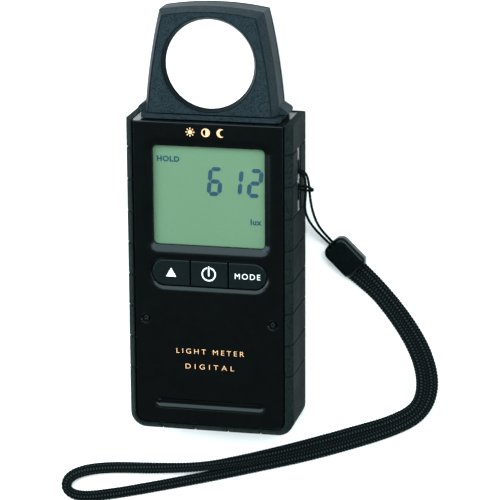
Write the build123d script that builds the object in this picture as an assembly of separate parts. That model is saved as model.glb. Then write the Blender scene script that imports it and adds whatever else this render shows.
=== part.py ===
from build123d import *
import math
import os

# Pocket light meter, lying on its back. Millimetres.
# +X right, +Y towards the sensor head, +Z out of the display side.
# The origin is under the middle of the meter, on the surface that it lies on.

# ---- driving sizes: whole object ----
overall_length = 146.5        # guard's bottom edge to the top of the sensor head
overall_width = 57.0          # across the rubber guard
overall_thickness = 24.1      # resting plane to front panel
head_reach = 38.1             # sensor head above the body's top face

# ---- rubber guard ----
guard_lip = 2.4               # front lip beside the panel
guard_bottom_wall = 2.5
guard_back_rim = 1.2          # thickness behind the case
guard_rim_width = 7.5         # rim on the back, sides
guard_bottom_rim = 6.0        # rim on the back, bottom
guard_top_rise = 0.2          # above the case's top face
guard_corner = 5.5
guard_bevel_width = 2.0
guard_bevel_depth = 2.9
tile_pitch = 11.0
first_tile = 9.7              # first groove below the case's top face
bottom_tile_pitch = 11.4
tile_groove = 0.55
groove_depth = 0.45
rear_band = 8.6               # height of the groove that runs round the sides

# ---- case ----
wall = 1.8
guard_gap = 0.1               # between the case and the guard
panel_step = 0.4              # the front panel is this much narrower than the case
panel_rise = 1.6              # depth of that step
case_corner = 3.4
cover_thickness = 1.3
pad_rise = 1.0                # the rear cover's raised pad inside the guard's rim
pad_gap = 0.3
rest_gap = 0.2                # pad above the resting plane
post_radius = 2.3
post_x = 17.5
top_post_drop = 3.8
bottom_post_rise = 7.0
seam_groove = 0.6
seam_depth = 1.0
seam_inset = 0.9              # from the case's sides to the seam's ends

# ---- display ----
display_drop = 25.4           # case top to the display's centre
view_width = 38.2
view_height = 34.0
view_corner = 1.5
rim_slope = 2.3               # how far the panel slopes down to the display
rim_depth = 0.97
rim_turn = 4.6                # rounding where the slope starts
rim_edge = 0.4                # rounding of the openings' edges
window_thickness = 0.8
window_margin = 1.7
lcd_margin = 0.9
lcd_thickness = 1.2
reflector_thickness = 0.8
strip_width = 1.8
holder_wall = 1.1

# ---- buttons ----
button_drop = 52.15
pill_length = 39.4
pill_height = 8.9
button_split = 13.04          # between the two gaps
button_gap = 0.45
button_clearance = 0.15
button_recess = 0.6           # button tops below the panel
pill_slope = 1.2
pill_depth = 0.5
pill_turn = 3.0
button_travel = 0.6
flange_reach = 0.8
flange_thickness = 0.9
flange_gap = 0.2

# ---- other front features ----
screw_drop = 68.5
front_screw_x = 21.94
front_head_radius = 1.15
front_shank_radius = 0.7
groove_drop = 98.4
groove_length = 38.4
groove_height = 3.7
finger_depth = 1.1

# ---- board and battery ----
board_thickness = 1.6
board_top = 17.0
board_end = 72.6              # below the case top
board_start = 7.3
board_gap = 0.9               # board edge to the case's inner wall
cell_radius = 5.25
cell_length = 44.5
cell_pitch = 11.4
nub_radius = 1.9
nub_length = 0.8
spring_length = 4.0
spring_wire = 0.3
contact_thickness = 0.5
tray_wall = 1.0
tray_start = 50.9             # below the case top
tray_clearance = 0.25
door_thickness = 1.4
door_clearance = 0.15
door_margin = 1.5             # door edge beyond the tray's mouth
door_pin_radius = 0.45
door_pin_length = 1.1
pin_clearance = 0.05

# ---- strap eyelet on the right side ----
eyelet_drop = 20.7            # centre of the eyelet block below the case top
eyelet_length = 21.8
eyelet_height = 4.7
eyelet_level = 11.6
eyelet_proud = 2.2            # beyond the case's side
eyelet_slots = ((13.9, 18.95), (22.05, 28.0))
slot_height = 2.2
tunnel_depth = 1.6
bridge_thickness = 1.7
window_gap = 0.15

# ---- swivel ----
axis_level = 12.0             # height of the swivel's axis
spindle_radius = 4.0
spindle_bore = 2.4
swivel_clearance = 0.06
spindle_length = 7.1          # below the case's top face
boss_radius = 6.5
boss_depth = 4.2
washer_thickness = 0.6
clip_thickness = 0.7
clip_reach = 1.6
clip_groove = 0.5
foot_gap = 0.3
foot_height = 1.5
foot_half_width = 23.7
foot_front = 9.1              # half depth of the foot and of the head
neck_inset = 0.9
neck_height = 0.5
tongue_height = 1.3
tongue_reach = 1.2
fit_gap = 0.1

# ---- sensor head ----
head_top_half = 17.75         # half width at the top corners
head_mid_half = 20.95
head_foot_half = 22.95
head_corner_drop = 1.6        # top corners below the middle of the arched top
head_side = 4.6               # half of the full-width depth
bevel_in_side = 1.75
bevel_in_top = 1.3
parting_level = 9.0
parting_groove = 0.9
parting_height = 1.6
face_groove = 0.4             # width and depth of the line round the head's front face
ear_half_width = 25.5
ear_side = 4.6
ear_top = 5.1                 # above the case's top face
ear_slope = 1.3
head_wall = 1.6
disc_rise = 19.05             # disc centre above the case's top face
disc_radius = 15.05
ring_width = 1.1
disc_recess = 1.7
disc_ledge = 0.8
ring_depth = 3.2
ring_seat = 1.2               # thickness and width of the collar that holds the ring
sensor_board_radius = 11.0
sensor_board_level = 5.6
holder_radius = 8.0
filter_radius = 5.5

# ---- wrist strap ----
cord_diameter = 0.9
tape_diameter = 3.0           # round section with the area of the flat braid, 4 mm by 2 mm
cap_length = 13.0
cap_width = 9.6
cap_height = 5.0
cap_corner = 1.3
cap_round = 1.5
notch_depth = 1.3
notch_width = 3.2
notch_drop = 3.0

# ---- smaller features ----
guard_back_round = 1.1
rim_corner = 3.0
rim_margin = 0.8              # room round an opening in which its edges are looked for
panel_round = 0.35
button_round = 0.35
front_boss_radius = 2.0
front_head_depth = 0.9
screw_gap = 0.1
screw_dish = 0.55
rear_head_radius = 2.2
rear_head_depth = 1.3
rear_shank_radius = 1.1
rear_screw_tip = 13.0
hinge_room = 0.3
eyelet_backing = 0.6
lead_radius = 0.9
connector_drop = 9.0
connector_length = 3.4
switch_top = 20.3
foot_corner = 1.1
neck_half = 14.4
neck_deep = 4.4
head_boss_radius = 2.1
head_screw_radius = 1.5
head_shank_radius = 0.75
head_screw_sink = 1.6
ring_proud = 0.1
ring_edge = 0.15
holder_top = 15.5
filter_level = 12.0
bend_share = 0.45

half_width = overall_width / 2
guard_bottom = -overall_length / 2
case_top = overall_length / 2 - head_reach
front = overall_thickness
guard_inner = half_width - guard_lip
case_half = guard_inner - guard_gap
panel_half = case_half - panel_step
guard_floor = guard_bottom + guard_bottom_wall
case_bottom = guard_floor + guard_gap
panel_bottom = case_bottom + panel_step
panel_level = front - panel_rise
panel_back = front - wall
cover_back = guard_back_rim + 0.1
case_back = cover_back + cover_thickness
pad_half = half_width - guard_rim_width - pad_gap
pad_bottom = guard_bottom + guard_bottom_rim + pad_gap
inner_half = case_half - wall
inner_top = case_top - wall
inner_bottom = case_bottom + wall
board_bottom = board_top - board_thickness
display_y = case_top - display_drop
button_y = case_top - button_drop
button_top = front - button_recess
flange_top = panel_back - flange_gap
flange_bottom = flange_top - flange_thickness
post_places = [(sx * post_x, y) for sx in (-1, 1)
               for y in (case_top - top_post_drop, case_bottom + bottom_post_rise)]
front_screw_places = [(sx * front_screw_x, case_top - screw_drop) for sx in (-1, 1)]
door_outer = rest_gap
door_inner = door_outer + door_thickness
tray_half = cell_pitch / 2 + cell_radius + tray_clearance
tray_length = cell_length + nub_length + spring_length + 2 * contact_thickness + tray_clearance
tray_top_y = case_top - tray_start
tray_bottom_y = tray_top_y - tray_length
cell_level = door_inner + tray_clearance + cell_radius
tray_roof = cell_level + cell_radius + tray_clearance
door_half = tray_half + door_margin
hinge_y = tray_bottom_y + door_thickness / 2
hinge_level = door_outer + door_thickness / 2
door_top_y = tray_top_y + door_margin
eyelet_y = case_top - eyelet_drop
foot_bottom = case_top + foot_gap
foot_top = foot_bottom + foot_height
head_foot = foot_top + neck_height
head_top = case_top + head_reach
tongue_low = head_foot + head_wall + fit_gap
tongue_top = tongue_low + tongue_height
disc_y = case_top + disc_rise
head_front = axis_level + foot_front
head_back = axis_level - foot_front
ring_radius = disc_radius + ring_width
lcd_top = panel_back - window_thickness - fit_gap
head_screw_tip = head_front - 2.2
head_screw_places = [(sx * head_foot_half * share, y) for sx in (-1, 1)
                     for share, y in ((0.84, case_top + 6.2), (0.66, head_top - 4.6))]


def slab(sketch, low, high):
    """A flat outline made solid between two heights."""
    return Pos(0, 0, low) * extrude(sketch, amount=high - low)


def block(x0, x1, y0, y1, z0, z1):
    """A box between two corners."""
    return Pos((x0 + x1) / 2, (y0 + y1) / 2, (z0 + z1) / 2) * Box(x1 - x0, y1 - y0, z1 - z0)


def post(x, y, radius, low, high):
    """An upright round post."""
    return Pos(x, y, (low + high) / 2) * Cylinder(radius, high - low)


def rod_y(x, z, radius, y0, y1):
    """A round rod along Y."""
    return Pos(x, (y0 + y1) / 2, z) * Rot(90, 0, 0) * Cylinder(radius, y1 - y0)


def rod_x(y, z, radius, x0, x1):
    """A round rod along X."""
    return Pos((x0 + x1) / 2, y, z) * Rot(0, 90, 0) * Cylinder(radius, x1 - x0)


def body_outline(half, top, bottom, radius):
    """A rectangle with its two bottom corners rounded."""
    sheet = Pos(0, (top + bottom) / 2) * Rectangle(2 * half, top - bottom)
    return fillet(sheet.vertices().sort_by(Axis.Y)[:2], radius)


def guard_shape(inset):
    """The guard's outer form, or the same form a little smaller to give its grooves their depth."""
    half = half_width - inset
    bottom = guard_bottom + inset
    outline = body_outline(half, case_top + guard_top_rise, bottom, guard_corner - inset)
    shape = slab(outline, inset, front - inset)
    face = shape.faces().sort_by(Axis.Z)[-1]
    rim = [edge for edge in face.edges() if edge.center().Y < case_top]
    shape = chamfer(rim, guard_bevel_width, guard_bevel_depth, reference=face)
    face = shape.faces().sort_by(Axis.Z)[0]
    rim = [edge for edge in face.edges() if edge.center().Y < case_top]
    return fillet(rim, guard_back_round)


def guard_grooves():
    """The tile grooves: across the sides, up the bottom, and one all round near the back."""
    high = case_top + guard_top_rise + 1
    bars = []
    count = int((case_top - guard_bottom - first_tile) // tile_pitch)
    for i in range(count):
        y = case_top - first_tile - i * tile_pitch
        bars.append(block(-half_width, half_width, y - tile_groove / 2, y + tile_groove / 2, 0, front))
    for i in (-1.5, -0.5, 0.5, 1.5):
        x = i * bottom_tile_pitch
        low = guard_bottom
        bars.append(block(x - tile_groove / 2, x + tile_groove / 2, low, guard_floor + 1, 0, front))
    level = rear_band
    bars.append(block(-half_width, half_width, guard_bottom, high, level - tile_groove / 2, level + tile_groove / 2))
    return Part() + bars - guard_shape(groove_depth)


def rubber_guard():
    """The rubber sleeve: sides, bottom and the rim of the back, open at the top and the front."""
    high = case_top + guard_top_rise + 1
    shape = guard_shape(0)
    shape -= slab(body_outline(guard_inner, high, guard_floor, case_corner + guard_gap), guard_back_rim, front + 1)
    rim_half = half_width - guard_rim_width
    rim_bottom = guard_bottom + guard_bottom_rim
    shape -= slab(body_outline(rim_half, high, rim_bottom, rim_corner), -1, guard_back_rim + 0.1)
    shape -= guard_grooves()
    gap = window_gap
    y0, y1 = eyelet_y - eyelet_length / 2 - gap, eyelet_y + eyelet_length / 2 + gap
    z0, z1 = eyelet_level - eyelet_height / 2 - gap, eyelet_level + eyelet_height / 2 + gap
    return shape - block(guard_inner - 1, half_width + 1, y0, y1, z0, z1)


def tapered_cut(low_sketch, high_sketch, low, high):
    """A cut between two outlines at two heights."""
    return loft([Pos(0, 0, low) * low_sketch, Pos(0, 0, high) * high_sketch])


def display_cut():
    """The display opening, straight through the panel."""
    outline = Pos(0, display_y) * RectangleRounded(view_width, view_height, view_corner)
    return slab(outline, panel_back - 0.1, front + 1)


def pill(grow):
    """The outline round all three buttons."""
    return Pos(0, button_y) * SlotOverall(pill_length + 2 * grow, pill_height + 2 * grow)


def button_cut():
    """The opening that all three button caps share, straight through the panel."""
    return slab(pill(button_clearance), panel_back - 0.1, front + 1)


def slope_rim(shape, y, half_height, reach, depth, turn):
    """Slopes the panel down to the opening at a given place, with soft turns."""
    def edges_at(level, grow):
        """The opening's edges at one height."""
        near = [edge for edge in shape.edges() if abs(edge.center().Z - level) < 0.01]
        return [edge for edge in near if abs(edge.center().Y - y) < half_height + rim_margin + grow
                and abs(edge.center().X) < view_width / 2 + rim_margin + grow]

    panel_face = shape.faces().sort_by(Axis.Z)[-1]
    shape = chamfer(edges_at(front, 0), reach, depth, reference=panel_face)
    shape = fillet(edges_at(front, reach), turn)
    return fillet(edges_at(front - depth, 0), rim_edge)


def finger_cut():
    """The finger groove, scooped by a round-ended rod that lies mostly above the panel."""
    y = case_top - groove_drop
    radius = (groove_height ** 2 / 4 + finger_depth ** 2) / (2 * finger_depth)
    level = front - finger_depth + radius
    half = (groove_length - groove_height) / 2
    ends = [Pos(side * half, y, level) * Sphere(radius) for side in (-1, 1)]
    return rod_x(y, level, radius, -half, half) + ends


def eyelet_cut():
    """Two slots into the eyelet block, joined by a tunnel behind the bridge."""
    z0, z1 = eyelet_level - slot_height / 2, eyelet_level + slot_height / 2
    outside = case_half + eyelet_proud
    tunnel_out = outside - bridge_thickness
    tunnel_in = tunnel_out - tunnel_depth
    cut = block(tunnel_in, tunnel_out, case_top - eyelet_slots[1][1], case_top - eyelet_slots[0][0], z0, z1)
    for start, end in eyelet_slots:
        cut += block(tunnel_in, outside + 1, case_top - end, case_top - start, z0, z1)
    return cut


def case_body():
    """The deep front housing with the front panel, the posts, the swivel boss and the strap eyelet."""
    shape = slab(body_outline(case_half, case_top, case_bottom, case_corner), case_back, panel_level)
    shape += slab(body_outline(panel_half, case_top, panel_bottom, case_corner - panel_step), panel_level, front)
    shape = fillet(shape.faces().sort_by(Axis.Z)[-1].edges(), panel_round)
    cavity = body_outline(inner_half, inner_top, inner_bottom, case_corner - wall)
    shape -= slab(cavity, case_back - 1, panel_back)
    boss = rod_y(0, axis_level, boss_radius, case_top - boss_depth, case_top - wall / 2)
    posts = [post(x, y, post_radius, case_back, panel_back + 0.1) for x, y in post_places]
    bosses = [post(x, y, front_boss_radius, board_top, panel_back + 0.1) for x, y in front_screw_places]
    shape += [boss] + posts + bosses
    rib = block(inner_half - eyelet_backing, case_half, eyelet_y - eyelet_length / 2, eyelet_y + eyelet_length / 2,
                eyelet_level - eyelet_height / 2, eyelet_level + eyelet_height / 2)
    side = block(case_half - 0.1, case_half + eyelet_proud, eyelet_y - eyelet_length / 2,
                 eyelet_y + eyelet_length / 2, eyelet_level - eyelet_height / 2, eyelet_level + eyelet_height / 2)
    shape += [rib, side]
    shape -= display_cut()
    shape = slope_rim(shape, display_y, view_height / 2, rim_slope, rim_depth, rim_turn)
    shape -= button_cut()
    shape = slope_rim(shape, button_y, pill_height / 2, pill_slope, pill_depth, pill_turn)
    shape -= finger_cut()
    shape -= eyelet_cut()
    shape -= rod_y(0, axis_level, spindle_radius + swivel_clearance, case_top - boss_depth - 1, case_top + 1)
    shape -= [post(x, y, rear_shank_radius, case_back - 1, rear_screw_tip) for x, y in post_places]
    for x, y in front_screw_places:
        hole = front_head_radius + screw_gap
        shape -= post(x, y, hole, front - front_head_depth, front + 1)
        shape -= Pos(x, y, front - screw_dish / 2) * Cone(hole, hole + screw_dish, screw_dish)
        shape -= post(x, y, front_shank_radius, board_top - 1, front)
    return shape


def rear_cover():
    """The back plate with its raised pad, the battery tray and the seat of the battery door."""
    shape = slab(body_outline(case_half, case_top, case_bottom, case_corner), cover_back, case_back)
    shape += slab(body_outline(pad_half, case_top, pad_bottom, rim_corner), rest_gap, cover_back + 0.1)
    out = tray_half + tray_wall
    shape += block(-out, out, tray_bottom_y - tray_wall, tray_top_y + tray_wall, cover_back, tray_roof + tray_wall)
    shape -= block(-tray_half, tray_half, tray_bottom_y, tray_top_y, -1, tray_roof)
    gap = door_clearance
    seat_half = door_half + gap
    shape -= block(-seat_half, seat_half, hinge_y - door_thickness / 2 - hinge_room, door_top_y + gap,
                   -1, door_inner + gap)
    reach = door_half + door_pin_length + 0.2
    shape -= rod_x(hinge_y, hinge_level, door_pin_radius + pin_clearance, -reach, reach)
    for x, y in post_places:
        shape -= post(x, y, rear_head_radius + 0.2, -1, rest_gap + rear_head_depth)
        shape -= post(x, y, rear_shank_radius, 0, case_back + 1)
    reach = case_half - seam_inset
    return shape - block(-reach, reach, case_top - seam_depth, case_top + 1, case_back - seam_groove, case_back + 1)


def battery_door():
    """The door with a rounded hinge end, two pins, a thumb dip and grip ribs."""
    shape = block(-door_half, door_half, hinge_y, door_top_y, door_outer, door_inner)
    shape += rod_x(hinge_y, hinge_level, door_thickness / 2, -door_half, door_half)
    reach = door_half + door_pin_length
    shape += rod_x(hinge_y, hinge_level, door_pin_radius, -reach, reach)
    dip = Pos(0, door_top_y - 4.5, door_outer) * Box(14, 3.2, 1.2)
    shape -= fillet(dip.edges().filter_by(Axis.Z), 1.2)
    for i in range(5):
        y = door_top_y - 8.2 - i * 1.8
        shape -= block(-7, 7, y - 0.4, y + 0.4, door_outer - 1, door_outer + 0.4)
    return shape


def battery_cells():
    """Two AAA cells side by side, laid opposite ways."""
    cells = []
    bottom = tray_bottom_y + contact_thickness
    top = tray_top_y - contact_thickness
    for side in (-1, 1):
        x = side * cell_pitch / 2
        if side < 0:
            y0 = bottom + nub_length
            cell = rod_y(x, cell_level, cell_radius, y0, y0 + cell_length)
            nub = rod_y(x, cell_level, nub_radius, bottom, y0)
        else:
            y1 = top - nub_length
            cell = rod_y(x, cell_level, cell_radius, y1 - cell_length, y1)
            nub = rod_y(x, cell_level, nub_radius, y1, top)
        cell = fillet(cell.edges().filter_by(GeomType.CIRCLE), 0.6)
        cells.append(cell + nub)
    return cells


def battery_springs():
    """A conical spring at the flat end of each cell."""
    springs = []
    turns = 3.5
    length = spring_length - 2 * spring_wire
    for side in (-1, 1):
        helix = Helix(length / turns, length, cell_radius - 1.2, cone_angle=-16)
        ring = Plane(origin=helix @ 0, z_dir=helix % 0) * Circle(spring_wire)
        coil = sweep(ring, path=helix, is_frenet=True)
        inset = contact_thickness + spring_wire
        end = tray_top_y - inset if side < 0 else tray_bottom_y + inset
        turn = Rot(90, 0, 0) if side < 0 else Rot(-90, 0, 0)
        springs.append(Pos(side * cell_pitch / 2, end, cell_level) * turn * coil)
    return springs


def battery_contacts():
    """Spring plates at both ends of the tray: two single plates and one that links the cells."""
    plates = []
    tall = cell_radius * 0.8
    y0, y1 = tray_bottom_y, tray_top_y
    link = cell_pitch / 2 + cell_radius * 0.8
    plates.append(block(-link, link, y0, y0 + contact_thickness, cell_level - tall, cell_level + tall))
    for side in (-1, 1):
        x = side * cell_pitch / 2
        plates.append(block(x - tall, x + tall, y1 - contact_thickness, y1, cell_level - tall, cell_level + tall))
    return plates


def main_board():
    """The circuit board under the display and the buttons."""
    half = inner_half - board_gap
    shape = block(-half, half, case_top - board_end, case_top - board_start, board_bottom, board_top)
    for x, y in front_screw_places:
        shape -= post(x, y, front_shank_radius, 0, front)
    return shape


def controller_chip():
    """The main chip, a square flat pack with its leads as one thin skirt on each side."""
    size, height = 12.0, 1.6
    y = display_y
    shape = block(-size / 2, size / 2, y - size / 2, y + size / 2, board_bottom - height, board_bottom - 0.1)
    lead, pitch, count = 0.4, 0.8, 12
    reach = size / 2 + 1
    skirt = board_bottom - 0.6
    for i in range(count):
        s = (i - (count - 1) / 2) * pitch
        shape += block(-reach, reach, y + s - lead / 2, y + s + lead / 2, skirt, board_bottom)
        shape += block(s - lead / 2, s + lead / 2, y - reach, y + reach, skirt, board_bottom)
    return shape


def board_components():
    """Small parts on the back of the board: two capacitors, a crystal and a row of resistors."""
    y = display_y - 14
    parts = [post(sx * 9, y, 2.0, board_bottom - 1.45, board_bottom) for sx in (-1, 1)]
    parts.append(block(-4, 4, y - 1.8, y + 1.8, board_bottom - 1.4, board_bottom))
    for i in range(6):
        x = -15 + i * 6
        parts.append(block(x - 0.8, x + 0.8, y + 22.5, y + 23.5, board_bottom - 0.6, board_bottom))
    return parts


def lead_connector():
    """The socket under the board that the sensor's lead plugs into."""
    start = case_top - connector_drop
    low = axis_level - lead_radius - 0.6
    return block(-4, 4, start - connector_length, start, low, board_bottom)


def sensor_lead():
    """The sensor's lead, straight along the swivel's axis from the head to its socket on the board."""
    end = disc_y - holder_radius - 0.4
    return rod_y(0, axis_level, lead_radius, case_top - connector_drop, end)


def tact_switches():
    """A push switch under each button."""
    switches = []
    for i in (-1, 0, 1):
        x = i * button_split
        body = block(x - 3, x + 3, button_y - 3, button_y + 3, board_top, switch_top - 0.5)
        switches.append(body + post(x, button_y, 1.6, switch_top - 0.6, switch_top))
    return switches


def button(low_x, high_x):
    """A button cap: its share of the pill, with a flange behind the panel and a stem over its switch."""
    tall = pill_height
    low, high = low_x + button_gap / 2, high_x - button_gap / 2
    share = block(low, high, button_y - tall, button_y + tall, 0, front)
    cap = slab(pill(0), flange_bottom, button_top) & share
    cap = fillet(cap.faces().sort_by(Axis.Z)[-1].edges(), button_round)
    flange = slab(pill(flange_reach), flange_bottom, flange_top) & share
    return cap + flange


def display_window():
    """The clear window behind the display opening."""
    half_x = view_width / 2 + window_margin
    half_y = view_height / 2 + window_margin
    shape = block(-half_x, half_x, display_y - half_y, display_y + half_y, panel_back - window_thickness, panel_back)
    return fillet(shape.edges().filter_by(Axis.Z), 1.0)


def lcd_outline(grow, low, high):
    """A rectangle round the display, between two heights."""
    half_x = view_width / 2 + lcd_margin + grow
    half_y = view_height / 2 + lcd_margin + grow
    return block(-half_x, half_x, display_y - half_y, display_y + half_y, low, high)


def lcd_panel():
    """The display glass."""
    return lcd_outline(0, lcd_top - lcd_thickness, lcd_top)


def lcd_holder():
    """The frame that carries the display on the board."""
    shape = lcd_outline(fit_gap + holder_wall, board_top, lcd_top)
    shape -= lcd_outline(fit_gap, lcd_top - lcd_thickness, lcd_top + 1)
    return shape - lcd_outline(-0.5, board_top - 1, lcd_top)


def zebra_strips():
    """Two elastic strips that join the glass to the board."""
    half_x = view_width / 2 - 0.5
    half_y = view_height / 2 + lcd_margin - 0.6
    low, high = board_top, lcd_top - lcd_thickness
    top = block(-half_x, half_x, display_y + half_y - strip_width, display_y + half_y, low, high)
    bottom = block(-half_x, half_x, display_y - half_y, display_y - half_y + strip_width, low, high)
    return [top, bottom]


def lcd_reflector():
    """The pale sheet behind the display glass."""
    half_x = view_width / 2 - 0.5
    half_y = view_height / 2 + lcd_margin - 0.8 - strip_width
    high = lcd_top - lcd_thickness
    return block(-half_x, half_x, display_y - half_y, display_y + half_y, high - reflector_thickness, high)


def front_screws():
    """Two small dome-headed screws through the panel into the board."""
    screws = []
    for x, y in front_screw_places:
        top = front - front_head_depth
        dome = Pos(x, y, top) * Sphere(front_head_radius)
        dome &= post(x, y, front_head_radius + 1, top, front - 0.15)
        dome -= Pos(x, y, front) * Rot(0, 0, 20) * (Box(1.1, 0.32, 1.2) + Box(0.32, 1.1, 1.2))
        screws.append(dome + post(x, y, front_shank_radius, board_bottom, top + 0.05))
    return screws


def rear_screws():
    """Four screws from the back into the posts."""
    screws = []
    for x, y in post_places:
        head_level = rest_gap + rear_head_depth
        screw = post(x, y, rear_head_radius, rest_gap + 0.1, head_level)
        screw += post(x, y, rear_shank_radius, head_level - 0.1, rear_screw_tip)
        slot = Pos(x, y, rest_gap) * (Box(2.8, 0.6, 1.4) + Box(0.6, 2.8, 1.4))
        screws.append(screw - slot)
    return screws


def foot_outline(grow):
    """The foot's outline seen from the top: bevelled corners."""
    long, deep = foot_half_width + grow, foot_front + grow
    sheet = Rectangle(2 * long, 2 * deep)
    return chamfer(sheet.vertices(), foot_corner)


def swivel_foot():
    """The bar under the head, its neck and tongue, and the hollow spindle that turns in the case."""

    def layer(sketch, low, high):
        """A flat outline made solid between two places along Y."""
        return Pos(0, high, axis_level) * extrude(Plane.XZ * sketch, amount=high - low)

    shape = layer(foot_outline(0), foot_bottom, foot_top)
    wing_low = Polyline((0, foot_bottom), (foot_half_width, foot_bottom), (ear_half_width - 0.45, foot_top),
                        (0, foot_top), close=True)
    wing = extrude(make_face(wing_low), amount=ear_side, both=True)
    shape += [Pos(0, 0, axis_level) * wing, Pos(0, 0, axis_level) * mirror(wing, Plane.YZ)]
    neck = Rectangle(2 * neck_half, 2 * neck_deep)
    tongue = Rectangle(2 * (neck_half + tongue_reach), 2 * (neck_deep + tongue_reach))
    shape += layer(neck, foot_top - 0.1, tongue_low + 0.1)
    shape += layer(tongue, tongue_low, tongue_top)
    shape += rod_y(0, axis_level, spindle_radius, case_top - spindle_length, foot_bottom + 0.1)
    shape -= rod_y(0, axis_level, spindle_bore, case_top - spindle_length - 1, tongue_top + 1)
    high = case_top - boss_depth - 0.1 - washer_thickness - 0.1
    collar = rod_y(0, axis_level, spindle_radius + 1, high - clip_thickness, high)
    collar -= rod_y(0, axis_level, spindle_radius - clip_groove, high - 2, high + 1)
    return shape - collar


def swivel_washer():
    """The spring washer that gives the swivel its friction."""
    high = case_top - boss_depth - 0.1
    ring = rod_y(0, axis_level, boss_radius - 0.3, high - washer_thickness, high)
    return ring - rod_y(0, axis_level, spindle_radius + 0.3, high - 2, high + 1)


def retaining_clip():
    """The open clip in the spindle's groove."""
    high = case_top - boss_depth - 0.1 - washer_thickness - 0.1
    ring = rod_y(0, axis_level, spindle_radius + clip_reach, high - clip_thickness, high)
    ring -= rod_y(0, axis_level, spindle_radius - clip_groove, high - 2, high + 1)
    mouth = spindle_radius * 0.7
    mouth_top = axis_level - spindle_radius * 0.6
    return ring - block(-mouth, mouth, high - 2, high + 1, axis_level - spindle_radius - 3, mouth_top)


def head_outline(inset_side, inset_top):
    """The head seen from the front: an arched top, curved sides, a straight foot."""
    corner_y = head_top - head_corner_drop - inset_top
    mid_y = (corner_y + head_foot) / 2 + 0.6
    top = ThreePointArc((-head_top_half + inset_side, corner_y), (0, head_top - inset_top),
                        (head_top_half - inset_side, corner_y))
    right = ThreePointArc((head_top_half - inset_side, corner_y), (head_mid_half - inset_side, mid_y),
                          (head_foot_half - inset_side, head_foot))
    left = ThreePointArc((-head_foot_half + inset_side, head_foot), (-head_mid_half + inset_side, mid_y),
                         (-head_top_half + inset_side, corner_y))
    foot = Line((head_foot_half - inset_side, head_foot), (-head_foot_half + inset_side, head_foot))
    return make_face([top, right, foot, left])


def head_ears():
    """The grips at the foot of the head, on both sides."""
    top = case_top + ear_top
    edge = ear_half_width
    profile = Polyline((0, head_foot), (edge, head_foot), (edge, top - ear_slope * 1.5),
                       (edge - 0.65, top - ear_slope), (head_foot_half - 0.3, top), (0, top), close=True)
    wing = Pos(0, 0, axis_level) * extrude(make_face(profile), amount=ear_side, both=True)
    return wing + mirror(wing, Plane.YZ)


def head_solid():
    """The whole head before it is split: full width in the middle, bevelled to the front and the back."""
    low, high = axis_level - head_side, axis_level + head_side
    full = head_outline(0, 0)
    face = head_outline(bevel_in_side, bevel_in_top)
    shape = slab(full, low, high)
    shape += tapered_cut(full, face, high, head_front)
    shape += tapered_cut(face, full, head_back, low)
    return shape + head_ears()


def head_cavity():
    """The hollow inside the head, with the slot that holds the foot's tongue."""
    low, high = axis_level - head_side, axis_level + head_side
    room = head_outline(head_wall + 0.6, head_wall)
    room &= Pos(0, (head_top + head_foot) / 2 + head_wall) * Rectangle(2 * half_width, head_top - head_foot)
    tight = head_outline(bevel_in_side + head_wall + 0.6, bevel_in_top + head_wall)
    tight &= Pos(0, (head_top + head_foot) / 2 + head_wall) * Rectangle(2 * half_width, head_top - head_foot)
    shape = slab(room, low, high)
    shape += slab(tight, head_back + head_wall, head_front - head_wall)
    neck_x, neck_z = neck_half + fit_gap, neck_deep + fit_gap
    return shape + block(-neck_x, neck_x, head_foot - 1, head_foot + head_wall + 1, axis_level - neck_z,
                         axis_level + neck_z)


def head_bosses():
    """Four screw bosses between the two shells."""
    return [post(x, y, head_boss_radius, head_back + 0.5, head_front - 0.5) for x, y in head_screw_places]


def head_front_shell():
    """The front housing half of the sensor head, with the opening for the disc."""
    shape = head_solid() - head_cavity()
    shape += [boss & head_solid() for boss in head_bosses()]
    shape &= block(-half_width, half_width, head_foot - 1, head_top + 1, parting_level, head_front + 1)
    shape -= post(0, disc_y, ring_radius + fit_gap, head_front - ring_depth, head_front + 1)
    seat_back = head_front - ring_depth - ring_seat
    collar = post(0, disc_y, ring_radius + ring_seat, seat_back, head_front - head_wall / 2)
    collar &= block(-half_width, half_width, tongue_top + fit_gap, head_top, 0, front)
    shape += collar - post(0, disc_y, ring_radius + fit_gap, head_front - ring_depth, head_front)
    shape -= post(0, disc_y, disc_radius - disc_ledge, 0, head_front)
    face = head_outline(bevel_in_side, bevel_in_top)
    line = face - head_outline(bevel_in_side + face_groove, bevel_in_top + face_groove)
    shape -= slab(line, head_front - face_groove, head_front + 1)
    return shape - [post(x, y, head_shank_radius, 0, head_screw_tip) for x, y in head_screw_places]


def head_rear_shell():
    """The rear housing half of the sensor head, with a shallow groove along the parting line."""
    shape = head_solid() - head_cavity()
    shape += [boss & head_solid() for boss in head_bosses()]
    shape &= block(-half_width, half_width, head_foot - 1, head_top + 1, head_back - 1, parting_level)
    seam = head_solid() - slab(head_outline(parting_groove, parting_groove), 0, front)
    seam &= block(-half_width, half_width, case_top + ear_top, head_top + 1, parting_level - parting_height, front)
    shape -= seam
    for x, y in head_screw_places:
        shape -= post(x, y, head_shank_radius, 0, front)
        shape -= post(x, y, head_screw_radius + 0.2, 0, head_back + head_screw_sink)
    return shape


def head_screws():
    """Four screws through the rear half into the front half."""
    screws = []
    for x, y in head_screw_places:
        low = head_back + head_screw_sink
        screw = post(x, y, head_screw_radius, low - 1.0, low)
        screw += post(x, y, head_shank_radius, low - 0.1, head_screw_tip)
        slot = Pos(x, y, low - 1.0) * (Box(2.0, 0.5, 1.0) + Box(0.5, 2.0, 1.0))
        screws.append(screw - slot)
    return screws


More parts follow.
